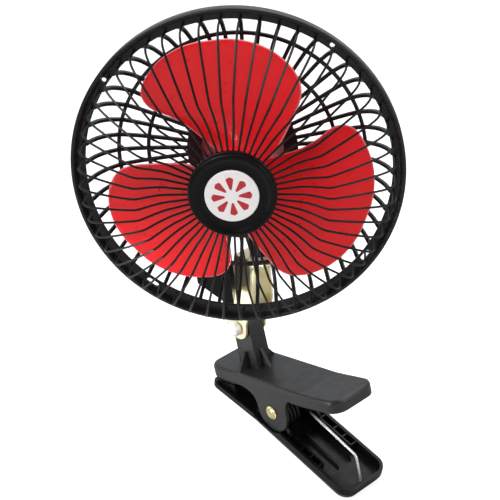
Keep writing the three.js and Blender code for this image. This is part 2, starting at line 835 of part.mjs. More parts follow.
// ---------------------------------------------------------------- swivel, about its own axis
function pivotBush() {
  const inner = swivelShaftRadius + runGap;
  const outer = inner + bushWall;
  const flange = webHeight + restGap;
  return turned([
    [inner, webHeight - sheet - 1], [outer, webHeight - sheet - 1], [outer, flange],
    [bushFlangeRadius, flange], [bushFlangeRadius, flange + bushFlange], [inner, flange + bushFlange],
  ]);
}

function pivotShaft() {
  return disc(swivelShaftRadius, webHeight - swivelShaftDown, webHeight + swivelShaftUp);
}

function pivotClip() {
  const top = webHeight - sheet - 1 - restGap;
  return tube(swivelShaftRadius + runGap, clipRadius, top - clipThickness, top);
}

// ---------------------------------------------------------------- guards, about the fan axis
// Rear ribs and their two rings as one net: at each ring the ribs' side faces open into it.
function ribNet() {
  const ringHalf = ribThickness / 2;
  const onRing = ({ radius, behind }, slope) => [
    [radius + ringHalf, -behind + slope], [radius - ringHalf, -behind - slope],
  ];
  const path = [
    [rimInner + 3.2, -rimDepth + 0.5], [rimInner - 0.6, -rimDepth - 3.6],
    [rimInner - ribShoulder.inside, -ribShoulder.behind], ...onRing(outerRing, 0.4),
    ...onRing(innerRing, 0.25), [guardHubOuter - 2.5, -guardBack],
  ];
  const ringStations = [3, 5];
  const stations = path.map(([r, z], i) => {
    const [r0, z0] = path[Math.max(i - 1, 0)];
    const [r1, z1] = path[Math.min(i + 1, path.length - 1)];
    const length = Math.hypot(r1 - r0, z1 - z0);
    const normal = [-(z1 - z0) / length, (r1 - r0) / length];
    return { r, z, normal };
  });
  const corners = [[-1, 1], [1, 1], [1, -1], [-1, -1]];
  const vertices = [];
  for (let rib = 0; rib < ribCount; rib++) {
    const angle = (2 * Math.PI * rib) / ribCount;
    for (const { r, z, normal } of stations) {
      for (const [sideways, outward] of corners) {
        const radial = r + normal[0] * outward * ribThickness * 0.5;
        const tangential = (sideways * ribWidth) / 2;
        vertices.push(
          radial * Math.cos(angle) - tangential * Math.sin(angle),
          radial * Math.sin(angle) + tangential * Math.cos(angle),
          z + normal[1] * outward * ribThickness * 0.5,
        );
      }
    }
  }
  const at = (rib, station, corner) =>
    ((rib % ribCount) * path.length + station) * 4 + corner;
  const faces = [];
  const quad = (a, b, c, d) => faces.push(a, b, c, a, c, d);
  for (let rib = 0; rib < ribCount; rib++) {
    for (let k = 0; k + 1 < path.length; k++) {
      const open = ringStations.includes(k);
      for (let c = 0; c < 4; c++) {
        if (open && c % 2 === 1) continue;
        const next = (c + 1) % 4;
        quad(at(rib, k, c), at(rib, k, next), at(rib, k + 1, next), at(rib, k + 1, c));
      }
      if (!open) continue;
      const here = [at(rib, k, 1), at(rib, k, 2), at(rib, k + 1, 2), at(rib, k + 1, 1)];
      const there = [
        at(rib + 1, k, 0), at(rib + 1, k, 3), at(rib + 1, k + 1, 3), at(rib + 1, k + 1, 0),
      ];
      for (let c = 0; c < 4; c++) {
        const next = (c + 1) % 4;
        quad(here[c], here[next], there[next], there[c]);
      }
    }
    const end = path.length - 1;
    quad(at(rib, 0, 3), at(rib, 0, 2), at(rib, 0, 1), at(rib, 0, 0));
    quad(at(rib, end, 0), at(rib, end, 1), at(rib, end, 2), at(rib, end, 3));
  }
  return solid(fromFaces(vertices, faces));
}

function rim() {
  const [outer, back] = [rimRadius, -rimDepth];
  const ledge = back + rimLedge;
  return turned([
    [rimInner, back], [outer - 1.6, back], [outer - 0.2, back + 1.3], [outer, -0.8],
    [outer - 0.7, 0], [outer - rimWall + 0.4, 0], [outer - rimWall - 0.3, ledge + 1.2],
    [outer - rimWall - 1.4, ledge], [rimInner, ledge],
  ], rimSides);
}

function rimOpenings() {
  const middle = (rimInner + rimRadius - rimWall) / 2;
  const openings = [0, 1, 2, 3].map((i) => {
    const hole = disc(rimHoleRadius, -2 * rimDepth, 0, 10);
    const slot = block(
      -rimHoleRadius, rimHoleRadius, -rimSlotLength / 2, rimSlotLength / 2, -2 * rimDepth, 0,
    );
    return aroundZ((i < 2 ? hole : slot).translate([middle, 0, 0]), rimHoleAngle + 90 * i);
  });
  return joined(openings);
}

function guardHub() {
  const half = guardHubThickness / 2;
  return tube(guardHubInner, guardHubOuter, -guardBack - half, -guardBack + half, fine);
}

function screwPattern(body) {
  return Array.from({ length: guardScrewCount }, (_, i) =>
    aroundZ(body.translate([guardScrewCircle, 0, 0]), 90 + (360 * i) / guardScrewCount));
}

function rearGuard() {
  const holes = screwPattern(disc(guardScrewRadius + runGap, -guardBack - 9, -guardBack + 9, 10));
  return joined([ribNet(), rim(), guardHub()]).subtract(joined([rimOpenings(), ...holes]));
}

function guardScrews() {
  const seat = -guardBack + guardHubThickness / 2 + restGap;
  const tip = mountBack + restGap;
  const screw = turned([
    [0, tip], [guardScrewRadius, tip], [guardScrewRadius, seat], [3, seat], [2.7, seat + 1.4],
    [1.4, seat + 2], [0, seat + 2],
  ], 10);
  return screwPattern(screw);
}

function frontGuard() {
  const back = -rimDepth + rimLedge + 0.5;
  const profile = [
    [wireHubOuter - 1.6, wireHub], [wireInset.radius, wireInset.ahead], [wireKinkRadius, wireKink],
    [wireSlope.radius, wireSlope.ahead], [wireShoulder.radius, wireShoulder.ahead],
    [wireEndRadius - 0.6, wireFoot], [wireEndRadius, back],
  ];
  const section = polygonSection(wireRadius, 4);
  const hub = tube(wireHubInner, wireHubOuter, wireHub - wireHubThickness / 2,
    wireHub + wireHubThickness / 2, fine);
  const wires = Array.from({ length: wireCount }, (_, i) => {
    const angle = (2 * Math.PI * i) / wireCount;
    const path = profile.map(([r, z]) =>
      new THREE.Vector3(r * Math.cos(angle), r * Math.sin(angle), z));
    const sideways = new THREE.Vector3(-Math.sin(angle), Math.cos(angle), 0);
    return solid(sweep(path, section, sideways));
  });
  return wires.reduce((sum, wire) => sum.add(wire), hub);
}

function hubCap() {
  const [r, z, top] = [capRadius, capBack, capBack + capHeight];
  return turned([
    [0, z], [r - 0.4, z], [r, z + 2], [r - 1.5, top], [r - 3.3, top - 0.1],
    [badgeRadius + 3, top - 1.6], [badgeRadius + runGap, top - 1.6],
    [badgeRadius + runGap, top - 2.4], [0, top - 2.4],
  ], fine);
}

function hubBadge() {
  const z = capBack + capHeight - 2.4 + restGap;
  const top = z + badgeThickness;
  const r = badgeRadius;
  return turned([[0, z], [r, z], [r, top - 0.5], [r - 0.6, top], [0, top]], fine);
}

// ---------------------------------------------------------------- propeller
// Each row is [radius, first edge angle, last edge angle] of the blade that points up.
const bladeRows = [
  [13, 32, 132], [30, 32, 131.5], [42, 40, 131.5], [54, 44, 135], [64, 46, 138],
  [72, 50, 137], [78, 56.5, 132.5], [82.5, 65.5, 122], [bladeTip, 82, 103],
];

function blade() {
  const columns = 6;
  const vertices = [];
  for (const side of [1, -1]) {
    for (const [r, first, last] of bladeRows) {
      for (let k = 0; k < columns; k++) {
        const share = k / (columns - 1);
        const angle = rad(first + share * (last - first));
        const z = bladeMiddle - bladePitch * (first + share * (last - first) - bladeHalfway);
        const half = bladeThickness / 2;
        vertices.push(r * Math.cos(angle), r * Math.sin(angle), z + side * half);
      }
    }
  }
  const rows = bladeRows.length;
  const at = (side, i, k) => (side * rows + i) * columns + k;
  const faces = [];
  const quad = (a, b, c, d) => faces.push(a, b, c, a, c, d);
  for (let i = 0; i + 1 < rows; i++) {
    for (let k = 0; k + 1 < columns; k++) {
      quad(at(0, i, k), at(0, i + 1, k), at(0, i + 1, k + 1), at(0, i, k + 1));
      quad(at(1, i, k), at(1, i, k + 1), at(1, i + 1, k + 1), at(1, i + 1, k));
    }
    quad(at(0, i, 0), at(1, i, 0), at(1, i + 1, 0), at(0, i + 1, 0));
    const end = columns - 1;
    quad(at(0, i, end), at(0, i + 1, end), at(1, i + 1, end), at(1, i, end));
  }
  for (let k = 0; k + 1 < columns; k++) {
    quad(at(0, 0, k), at(0, 0, k + 1), at(1, 0, k + 1), at(1, 0, k));
    const end = rows - 1;
    quad(at(0, end, k), at(1, end, k), at(1, end, k + 1), at(0, end, k + 1));
  }
  return solid(fromFaces(vertices, faces));
}

function propeller() {
  const bore = shaftRadius + runGap;
  const hub = turned([
    [bore, propHubBack], [propHubRadius, propHubBack], [propHubRadius, propHubFront - 6],
    [propHubRadius - 3, propHubFront - 2], [propHubRadius / 2, propHubFront], [0, propHubFront + 0.6],
    [0, propHubFront - 6 + restGap], [bore, propHubFront - 6 + restGap],
  ], fine);
  const blades = Array.from({ length: bladeCount }, (_, i) =>
    aroundZ(blade(), (360 * i) / bladeCount).subtract(disc(propHubRadius - 1.5, -bladeTip, bladeTip, 20)));
  return joined([hub, ...blades]);
}

// ---------------------------------------------------------------- motor
function motorShaft() {
  return disc(shaftRadius, motorBack - 6, propHubFront - 6, 16);
}

function motorArmature() {
  const length = motorLength - 18;
  const back = motorBack + 9;
  const stack = disc(armatureRadius, back, back + length, 30);
  const slots = Array.from({ length: armaturePoles }, (_, i) => {
    const slot = block(armatureRadius - 8, armatureRadius + 1, -1.2, 1.2, back - 1, back + length + 1);
    return aroundZ(slot, (360 * i) / armaturePoles);
  });
  return stack.subtract(joined([...slots, disc(shaftRadius + runGap, back - 1, back + length + 1, 16)]));
}

function motorMagnets() {
  const outer = motorRadius - motorWall - restGap;
  const back = motorBack + 7;
  const ring = tube(outer - magnetThickness, outer, back, back + motorLength - 14, fine);
  const split = block(-outer - 1, outer + 1, -5, 5, back - 1, back + motorLength);
  const whole = ring.subtract(split);
  const half = block(-outer - 1, outer + 1, 0, outer + 1, back - 1, back + motorLength);
  const upper = whole.intersect(half);
  return [upper, upper.rotate([0, 0, 180])];
}

function motorCan() {
  const hole = bearingRadius + runGap;
  const front = mountBack - restGap;
  const inner = motorRadius - motorWall;
  return turned([
    [hole, motorBack], [motorRadius - 2, motorBack], [motorRadius, motorBack + 2],
    [motorRadius, front], [inner, front], [inner, motorBack + 2 + motorWall],
    [inner - 1, motorBack + motorWall], [hole, motorBack + motorWall],
  ], fine);
}

function bearing(back) {
  return tube(shaftRadius + runGap, bearingRadius, back, back + bearingLength, 16);
}

function motorMount() {
  const plate = tube(bearingRadius + runGap, mountRadius, mountBack, mountFront, fine);
  const holes = screwPattern(disc(guardScrewRadius + runGap, mountBack - 1, mountFront + 1, 10));
  const ears = screwPattern(disc(3.6, mountBack, mountFront, 10));
  return joined([plate, ...ears]).subtract(joined(holes));
}

function motorShell() {
  const [r, wall, front, back] = [shellRadius, shellWall, shellFront, shellBack];
  const cup = turned([
    [r, front], [r - wall, front], [r - wall, back + 14], [r - wall - 3, back + 6],
    [r / 2, back + wall], [0, back + wall - 0.6], [0, back - 0.6], [r / 2 + 1, back],
    [r - 3, back + 5], [r, back + 14],
  ], fine);
  const vents = [];
  for (let i = 0; i < shellVents; i++) {
    const vent = block(r - wall - 4, r + 4, -ventWidth / 2, ventWidth / 2,
      front - 10 - ventLength, front - 10);
    const angle = -50 + (280 * i) / (shellVents - 1);
    vents.push(aroundZ(vent, angle));
  }
  for (let i = -2; i <= 2; i++) {
    const reach = Math.sqrt((r * 0.62) ** 2 - (i * 5) ** 2);
    vents.push(block(-reach, reach, i * 5 - 1, i * 5 + 1, back - 4, back + 6));
  }
  const stemHole = turnedAlongY([
    [0, 0], [knobStemRadius + runGap, 0], [knobStemRadius + runGap, 2 * r], [0, 2 * r],
  ], 16).translate([0, 0, -knobBehindRim]);
  return cup.subtract(joined([...vents, stemHole]));
}

function gearHousing() {
  const w = housingHalfWidth;
  const drop = -housingDrop;
  const front = extruded(
    outline([[-w, drop + 4], [-w + 4, drop], [w - 4, drop], [w, drop + 4], [w, -20], [-w, -20]]),
    housingBack - housingFront,
  );
  front.translate(0, 0, -housingBack);
  const cradle = disc(shellRadius + restGap, -2 * housingBack, 0, fine);
  const axis = -swivelBehindRim;
  const column = turnedAlongY([
    [0, columnBottom], [columnRadius, columnBottom], [columnRadius, drop + 6], [0, drop + 6],
  ], smooth).translate([0, 0, axis]);
  const boreRadius = swivelShaftRadius + runGap;
  const boreTop = webBelowAxis + swivelShaftUp + restGap;
  const bore = turnedAlongY([
    [0, columnBottom - 1], [boreRadius, columnBottom - 1], [boreRadius, boreTop], [0, boreTop],
  ], smooth).translate([0, 0, axis]);
  return solid(front).subtract(cradle).add(column).subtract(bore);
}

function swingKnob() {
  const foot = motorRadius + 0.8;
  const under = shellRadius + restGap;
  return turnedAlongY([
    [0, foot], [knobStemRadius, foot], [knobStemRadius, under], [knobRadius - 1, under],
    [knobRadius, under + 1.5], [knobRadius * 0.8, knobTop - 1], [knobRadius * 0.6, knobTop],
    [0, knobTop],
  ], 20).translate([0, 0, -knobBehindRim]);
}

// ---------------------------------------------------------------- switch box and gland
function switchBox() {
  const [inner, outer] = [-switchBoxInner, -switchBoxOuter];
  const shoulder = -housingDrop + 12;
  const neck = -housingHalfWidth - restGap;
  const shape = outline([
    [outer + 2, shoulder], [outer, shoulder - 3], [outer, -switchBoxDrop + switchBoxSlant],
    [inner - 5, -switchBoxDrop], [inner, -switchBoxDrop], [inner, -housingDrop - 3],
    [neck, -housingDrop + 5], [neck, shoulder],
  ]);
  const shell = extruded(shape, switchBoxBack - switchBoxFront).translate(0, 0, -switchBoxBack);
  const x = (inner + outer) / 2;
  const pocket = block(
    x - rockerHalfWidth - 1.8, x + rockerHalfWidth + 1.8,
    -rockerDrop - rockerHalfHeight - 1.8, -rockerDrop + rockerHalfHeight + 1.8,
    -switchBoxBack - 1, -switchBoxBack + 9,
  );
  return solid(shell).subtract(pocket);
}

function switchBezel() {
  const x = -(switchBoxInner + switchBoxOuter) / 2;
  const frame = (grow, z0, z1) => block(
    x - rockerHalfWidth - grow, x + rockerHalfWidth + grow,
    -rockerDrop - rockerHalfHeight - grow, -rockerDrop + rockerHalfHeight + grow, z0, z1,
  );
  const back = -switchBoxBack;
  const flange = frame(3, back - 1.2, back - restGap);
  const sleeve = frame(1.4, back - 1, back + 8);
  return flange.add(sleeve).subtract(frame(0.5, back - 2, back + 10));
}

// A rocker drawn about its own hinge, pressed side down at one end.
function rockerSwitch() {
  const h = rockerHalfHeight;
  const shape = new THREE.Shape();
  shape.moveTo(-h, -1);
  shape.lineTo(-h, 2.4);
  shape.quadraticCurveTo(0, 0.2, h, 2.4);
  shape.lineTo(h, -1);
  shape.lineTo(2, -4.5);
  shape.lineTo(-2, -4.5);
  return sideCut(shape, -rockerHalfWidth, rockerHalfWidth, 4);
}

function cordGland() {
  const z = -housingBack - restGap;
  return turned([
    [0, z], [0, z - 2], [glandBore, z - 2], [glandBore, z - glandLength],
    [glandRadius - 1.8, z - glandLength], [glandRadius - 1, z - 2.5], [glandRadius, z - 2.5],
    [glandRadius, z],
  ], 16).translate([0, -glandDrop, 0]);
}

// ---------------------------------------------------------------- assembly
function group(children, position = [0, 0, 0], rotation = [0, 0, 0]) {
  const holder = new THREE.Group();
  holder.position.set(...position);
  holder.rotation.set(...rotation.map(rad));
  holder.add(...children);
  return holder;
}

const padPlan = extruded(gripPlan(gripWall + restGap), padThickness * 3, 4);
const upperPad = toothedPad(restGap / 2 + padThickness, restGap / 2, -1)
  .translate([0, padForward, 0])
  .intersect(solid(padPlan.translate(0, 0, -padThickness)));
const lowerPad = toothedPad(-restGap / 2 - padThickness, -restGap / 2, 1);

const clip = group([
  piece("upper_grip", upperGrip(), gripPlastic),
  piece("upper_jaw_pad", upperPad, rubber),
  piece("lower_jaw_pad", lowerPad.translate([0, padForward, 0]), rubber),
  piece("clip_spring", clipSpring(), springSteel),
  group([
    piece("pivot_pin", pivotPin(), brass),
    piece("pin_cap", pinCap(), brass),
  ], [0, pivotY, pivotZ]),
  group([piece("lower_grip", lowerGrip(), gripPlastic)], [0, pivotY, pivotZ], [leverAngle, 0, 0]),
]);

const bezelX = -(switchBoxInner + switchBoxOuter) / 2;
const rocker = group([
  piece("rocker_switch", rockerSwitch(), redPlastic),
], [bezelX, -rockerDrop, -switchBoxBack], [-90 + rockerTilt, 0, 0]);

const head = group([
  piece("rear_guard", rearGuard(), guardPlastic),
  piece("front_guard", frontGuard(), guardPlastic),
  piece("hub_cap", hubCap(), capPlastic),
  piece("hub_badge", hubBadge(), whitePlastic),
  ...guardScrews().map((body, i) => piece(`guard_screw_${i + 1}`, body, nickel)),
  piece("propeller", propeller(), redPlastic),
  piece("motor_shaft", motorShaft(), nickel),
  piece("motor_armature", motorArmature(), motorSteel),
  ...motorMagnets().map((body, i) => piece(`motor_magnet_${i + 1}`, body, magnetGrey)),
  piece("motor_can", motorCan(), motorSteel),
  piece("front_bearing", bearing(mountBack - 0.6), bronze),
  piece("rear_bearing", bearing(motorBack - 1), bronze),
  piece("motor_mount", motorMount(), motorSteel),
  piece("motor_shell", motorShell(), capPlastic),
  piece("gear_housing", gearHousing(), capPlastic),
  piece("swing_knob", swingKnob(), capPlastic),
  piece("switch_box", switchBox(), capPlastic),
  piece("switch_bezel", switchBezel(), guardPlastic),
  piece("cord_gland", cordGland(), rubber),
  rocker,
], [0, -swivelBehindRim, headHeight], [90, 0, 0]);

const swivel = group([
  piece("pivot_shaft", pivotShaft(), nickel),
  piece("pivot_clip", pivotClip(), nickel),
  head,
], [0, -swivelForward, 0], [0, 0, -swivelAngle]);

const tilt = group([
  piece("tilt_yoke", yoke(), zinc),
  piece("tilt_bolt", tiltBolt(), nickel),
  piece("left_tilt_washer", tiltWasher(-1), nylon),
  piece("right_tilt_washer", tiltWasher(1), nylon),
  piece("thumb_nut", thumbNut(), nickel),
  group([piece("pivot_bush", pivotBush(), nylon)], [0, -swivelForward, 0]),
  swivel,
], [0, boltY, boltZ], [tiltAngle, 0, 0]);

export default group([clip, tilt]);
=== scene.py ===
import json
import math

import bmesh
import bpy
from mathutils import Matrix, Vector


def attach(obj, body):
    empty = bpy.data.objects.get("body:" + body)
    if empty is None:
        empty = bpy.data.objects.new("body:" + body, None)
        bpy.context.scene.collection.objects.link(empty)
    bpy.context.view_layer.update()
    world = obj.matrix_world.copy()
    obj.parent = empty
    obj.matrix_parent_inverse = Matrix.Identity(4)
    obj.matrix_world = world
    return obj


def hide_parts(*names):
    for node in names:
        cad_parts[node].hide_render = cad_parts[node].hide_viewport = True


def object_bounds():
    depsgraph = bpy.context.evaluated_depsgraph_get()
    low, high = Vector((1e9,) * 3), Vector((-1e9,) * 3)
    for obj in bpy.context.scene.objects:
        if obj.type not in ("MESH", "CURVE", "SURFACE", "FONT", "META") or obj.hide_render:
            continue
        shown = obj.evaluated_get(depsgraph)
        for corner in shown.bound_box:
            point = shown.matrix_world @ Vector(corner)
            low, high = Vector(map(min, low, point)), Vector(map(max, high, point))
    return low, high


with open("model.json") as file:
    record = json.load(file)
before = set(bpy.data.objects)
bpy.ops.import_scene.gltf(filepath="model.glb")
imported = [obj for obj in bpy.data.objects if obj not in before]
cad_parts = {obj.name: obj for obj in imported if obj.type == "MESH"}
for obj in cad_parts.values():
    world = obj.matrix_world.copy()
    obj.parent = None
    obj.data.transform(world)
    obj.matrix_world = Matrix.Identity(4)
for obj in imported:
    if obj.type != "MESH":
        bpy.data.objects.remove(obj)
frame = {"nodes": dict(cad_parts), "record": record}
cad_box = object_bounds()

# ------------------------------------------------------------------ places (metres, row frame)
MM = 0.001
BOLT = Vector((0, -19, 46)) * MM
CLIP_PIVOT = Vector((0, -51.9, -11.7)) * MM


def turn(degrees, axis):
    return Matrix.Rotation(math.radians(degrees), 4, axis)


TILT = Matrix.Translation(BOLT) @ turn(6.6, "X")
SWIVEL = TILT @ Matrix.Translation(Vector((0, -26.3, 0)) * MM) @ turn(-45.9, "Z")
HEAD = SWIVEL @ Matrix.Translation(Vector((0, -60, 148)) * MM) @ turn(90, "X")
PIVOT = Matrix.Translation(CLIP_PIVOT)

# ------------------------------------------------------------------ material tools


class Nodes:
    """A material's node tree, with short ways to add and join nodes."""

    def __init__(self, name):
        self.material = bpy.data.materials.new(name)
        self.material.use_nodes = True
        self.tree = self.material.node_tree
        self.shader = self.tree.nodes["Principled BSDF"]
        self.place = self.add("ShaderNodeTexCoord").outputs["Object"]

    def add(self, kind, **values):
        node = self.tree.nodes.new(kind)
        for key, value in values.items():
            if hasattr(node, key):
                setattr(node, key, value)
            else:
                node.inputs[key.replace("_", " ")].default_value = value
        return node

    def link(self, output, socket):
        self.tree.links.new(output, socket)

    def set(self, **values):
        for key, value in values.items():
            self.shader.inputs[key.replace("_", " ")].default_value = value

    def noise(self, scale, detail=3.0, vector=None, roughness=0.5):
        node = self.add("ShaderNodeTexNoise", Scale=scale, Detail=detail, Roughness=roughness)
        self.link(vector or self.place, node.inputs["Vector"])
        return node.outputs["Fac"]

    def ramp(self, value, stops):
        node = self.add("ShaderNodeValToRGB")
        elements = node.color_ramp.elements
        while len(elements) < len(stops):
            elements.new(0.5)
        for element, (position, color) in zip(elements, stops):
            element.position = position
            element.color = (*color, 1)
        self.link(value, node.inputs["Fac"])
        return node.outputs["Color"]

    def spread(self, value, low, high, start=0.3, end=0.7):
        node = self.add("ShaderNodeMapRange")
        for socket, number in zip(("From Min", "From Max", "To Min", "To Max"),
                                  (start, end, low, high)):
            node.inputs[socket].default_value = number
        self.link(value, node.inputs["Value"])
        return node.outputs["Result"]

    def bump(self, height, strength, distance):
        node = self.add("ShaderNodeBump", Strength=strength, Distance=distance)
        self.link(height, node.inputs["Height"])
        return node

    def color(self, output):
        self.link(output, self.shader.inputs["Base Color"])

    def rough(self, output):
        self.link(output, self.shader.inputs["Roughness"])

    def normal(self, node):
        self.link(node.outputs["Normal"], self.shader.inputs["Normal"])


def scaled(color, factor):
    return tuple(min(1.0, c * factor) for c in color)


def plastic(name, color, rough, grain=0.0, grain_size=0.4, flow=0.12, coat=0.0, **more):
    """Moulded plastic: faint flow marks in the colour, a worn gloss and a fine moulded grain."""
    n = Nodes(name)
    n.set(Coat_Weight=coat, Coat_Roughness=0.12, **more)
    cloud = n.noise(60, 4)
    n.color(n.ramp(cloud, [(0.3, scaled(color, 1 - flow)), (0.7, scaled(color, 1 + flow))]))
    n.rough(n.spread(n.noise(140, 5), rough * 0.82, rough * 1.2))
    if grain:
        n.normal(n.bump(n.noise(1000 / grain_size, 2), grain, 0.0001))
    return n


def metal(name, color, rough, brush=None, flow=0.1, bump=0.12):
    """Metal with a cloudy tint and fine scratches that may run along one axis."""
    n = Nodes(name)
    n.set(Metallic=1.0)
    place = n.place
    if brush:
        stretch = n.add("ShaderNodeMapping")
        stretch.inputs["Scale"].default_value = brush
        n.link(place, stretch.inputs["Vector"])
        place = stretch.outputs["Vector"]
    tint = n.noise(90, 4)
    n.color(n.ramp(tint, [(0.3, scaled(color, 1 - flow)), (0.7, scaled(color, 1 + flow))]))
    scratch = n.noise(1500, 4, place)
    n.rough(n.spread(scratch, rough * 0.8, rough * 1.3))
    n.normal(n.bump(scratch, bump, 0.00005))
    return n


def zinc_gold():
    """Yellow passivated zinc: a satin gold that drifts into straw, green and rose."""
    n = Nodes("zinc_gold")
    n.set(Metallic=0.6)
    film = n.noise(45, 5, roughness=0.6)
    n.color(n.ramp(film, [
        (0.30, (0.72, 0.53, 0.20)), (0.42, (0.93, 0.78, 0.42)), (0.50, (0.98, 0.90, 0.62)),
        (0.58, (0.82, 0.86, 0.54)), (0.68, (0.94, 0.70, 0.50)),
    ]))
    n.rough(n.spread(n.noise(1200, 4), 0.36, 0.5))
    n.normal(n.bump(n.noise(400, 4), 0.12, 0.00008))
    return n.material


def shaded_coil_wire():
    """Bright spring wire whose curls round the pin carry painted shade: a dark colour that stands
    for the shadow of the plate above them.
    """
    n = metal("spring_wire", (0.9, 0.9, 0.9), 0.45, bump=0.03)
    n.set(Metallic=0.75)
    axes = n.add("ShaderNodeSeparateXYZ")
    n.link(n.place, axes.inputs["Vector"])
    # Painted shade: the colour darkens along Y towards the curls, standing for the plate's shadow
    # on the coil.
    unshaded_share = n.spread(axes.outputs["Y"], 1, 0, -0.086, -0.070)
    n.color(n.ramp(unshaded_share, [(0.0, (0.035, 0.035, 0.037)), (1.0, (0.93, 0.93, 0.94))]))
    return n.material


def dimpled_brass():
    """Brass of a rivet head that was set with blows of a punch."""
    n = metal("rivet_brass", (0.92, 0.78, 0.38), 0.3)
    n.normal(n.bump(n.noise(480, 1), 1.0, 0.0012))
    return n.material


MATERIALS = {
    "grip_plastic": plastic(
        "grip_charcoal", (0.0165, 0.016, 0.0162), 0.38, 0.3, 0.5, Specular_IOR_Level=0.48,
    ).material,
    "guard_plastic": plastic(
        "guard_black", (0.012, 0.0125, 0.0145), 0.32, 0.05, 0.8, Specular_IOR_Level=0.34,
    ).material,
    "wire_plastic": plastic(
        "wire_black", (0.004, 0.004, 0.0045), 0.36, 0.05, 0.8, Specular_IOR_Level=0.28,
    ).material,
    "cap_plastic": plastic(
        "cap_black", (0.003, 0.0029, 0.003), 0.36, 0.15, 0.35, Specular_IOR_Level=0.16,
    ).material,
    "red_plastic": plastic(
        "blade_red", (0.90, 0.014, 0.019), 0.32, 0.03, 1.2, flow=0.03, coat=0.1,
        Specular_IOR_Level=0.35,
        Subsurface_Weight=0.15, Subsurface_Radius=(0.006, 0.001, 0.001), Subsurface_Scale=0.6,
    ).material,
    # Painted highlight: the blade beads are a paler pink red, for the light their rounded edges
    # catch.
    "highlit_blade_bead": plastic("highlit_blade_bead", (0.95, 0.20, 0.22), 0.35, 0.03, 1.2, 0.04).material,
    "badge_white": plastic("badge_white", (0.93, 0.88, 0.87), 0.3, 0.02, 1.0, 0.015, 0.3).material,
    "badge_red": plastic("badge_red", (0.50, 0.008, 0.014), 0.3, 0.02, 1.0, 0.05, 0.3).material,
    "black_rubber": plastic("black_rubber", (0.012, 0.012, 0.012), 0.8, 0.6, 0.3).material,
    "nylon": plastic("nylon", (0.72, 0.70, 0.64), 0.45, 0.1, 0.6).material,
    "zinc_gold": zinc_gold(),
    "rivet_brass": dimpled_brass(),
    "nickel": metal("nickel", (0.98, 0.98, 0.97), 0.5).material,
    "spring_steel": shaded_coil_wire(),
    "motor_steel": metal("motor_steel", (0.55, 0.55, 0.57), 0.35, (1, 1, 8)).material,
    "magnet": plastic("magnet", (0.06, 0.06, 0.065), 0.7, 0.4, 0.2).material,
    "bronze": metal("bronze", (0.55, 0.38, 0.18), 0.4).material,
}
# The lower grip is of the same plastic, polished inside; its darker colour is painted shade, a
# shaded copy of that plastic.
POLISHED_SHADED = plastic(
    "grip_black", (0.004, 0.004, 0.0043), 0.3, 0.08, 0.5, Specular_IOR_Level=0.22,
).material

# ------------------------------------------------------------------ mesh tools (millimetres)


def fillet(points, radius, steps=4, closed=True):
    """The same outline with every corner rounded, as far as its sides allow."""
    result = []
    count = len(points)
    for i, point in enumerate(points):
        if not closed and i in (0, count - 1):
            result.append(tuple(point))
            continue
        here = Vector(point)
        back = Vector(points[i - 1]) - here
        on = Vector(points[(i + 1) % count]) - here
        reach = min(radius, back.length * 0.45, on.length * 0.45)
        start = here + back.normalized() * reach
        end = here + on.normalized() * reach
        for k in range(steps + 1):
            t = k / steps
            result.append(tuple(start * (1 - t) ** 2 + here * 2 * t * (1 - t) + end * t * t))
    return result


def curve_through(points, steps=6):
    """A Catmull-Rom curve through the points."""
    p = [2 * Vector(points[0]) - Vector(points[1]), *map(Vector, points),
         2 * Vector(points[-1]) - Vector(points[-2])]
    result = []
    for i in range(1, len(p) - 2):
        for k in range(steps):
            t = k / steps
            result.append(0.5 * (
                2 * p[i] + (p[i + 1] - p[i - 1]) * t
                + (2 * p[i - 1] - 5 * p[i] + 4 * p[i + 1] - p[i + 2]) * t * t
                + (3 * p[i] - p[i - 1] - 3 * p[i + 1] + p[i + 2]) * t ** 3))
    result.append(p[-2])
    return result


def radial_curve(points, steps=3):
    """A smooth curve through points of (radius, height), in the plane of X and Z."""
    return [Vector((p.x, 0, p.y)) for p in curve_through([(*q, 0) for q in points], steps)]


def ring_faces(rows, columns, wrap_rows=False):
    faces = []
    for i in range(rows if wrap_rows else rows - 1):
        a, b = i * columns, ((i + 1) % rows) * columns
        for k in range(columns):
            n = (k + 1) % columns
            faces.append((a + k, a + n, b + n, b + k))
    return faces


def lathe(profile, sides=96):
    """A closed profile of (radius, height) turned about Z. It may start and end on the axis."""
    solid = abs(profile[0][0]) < 1e-6
    rows = [(r, z) for r, z in profile if not (solid and abs(r) < 1e-6)]
    vertices = []
    for r, z in rows:
        for k in range(sides):
            angle = 2 * math.pi * k / sides
            vertices.append((r * math.cos(angle), r * math.sin(angle), z))
    faces = ring_faces(len(rows), sides, not solid)
    if solid:
        faces.append(tuple(range(sides)))
        faces.append(tuple(len(vertices) - 1 - k for k in range(sides)))
    return vertices, faces


def sweep(path, section, reference):
    """A bar of one section along a path. The section is (along the reference, across) pairs."""
    path = [Vector(p) for p in path]
    reference = Vector(reference)
    vertices = []
    for i, point in enumerate(path):
        tangent = (path[min(i + 1, len(path) - 1)] - path[max(i - 1, 0)]).normalized()
        along = (reference - tangent * reference.dot(tangent)).normalized()
        across = tangent.cross(along)
        vertices += [tuple(point + along * p + across * q) for p, q in section]
    n = len(section)
    faces = ring_faces(len(path), n)
    faces.append(tuple(range(n - 1, -1, -1)))
    faces.append(tuple(range(len(vertices) - n, len(vertices))))
    return vertices, faces


def circle(radius, sides=10):
    return [(radius * math.cos(2 * math.pi * k / sides), radius * math.sin(2 * math.pi * k / sides))
            for k in range(sides)]


def merged(parts):
    vertices, faces = [], []
    for part_vertices, part_faces in parts:
        base = len(vertices)
        vertices += part_vertices
        faces += [tuple(i + base for i in face) for face in part_faces]
    return vertices, faces


def moved(part, matrix):
    vertices, faces = part
    return [tuple(matrix @ Vector(v)) for v in vertices], faces


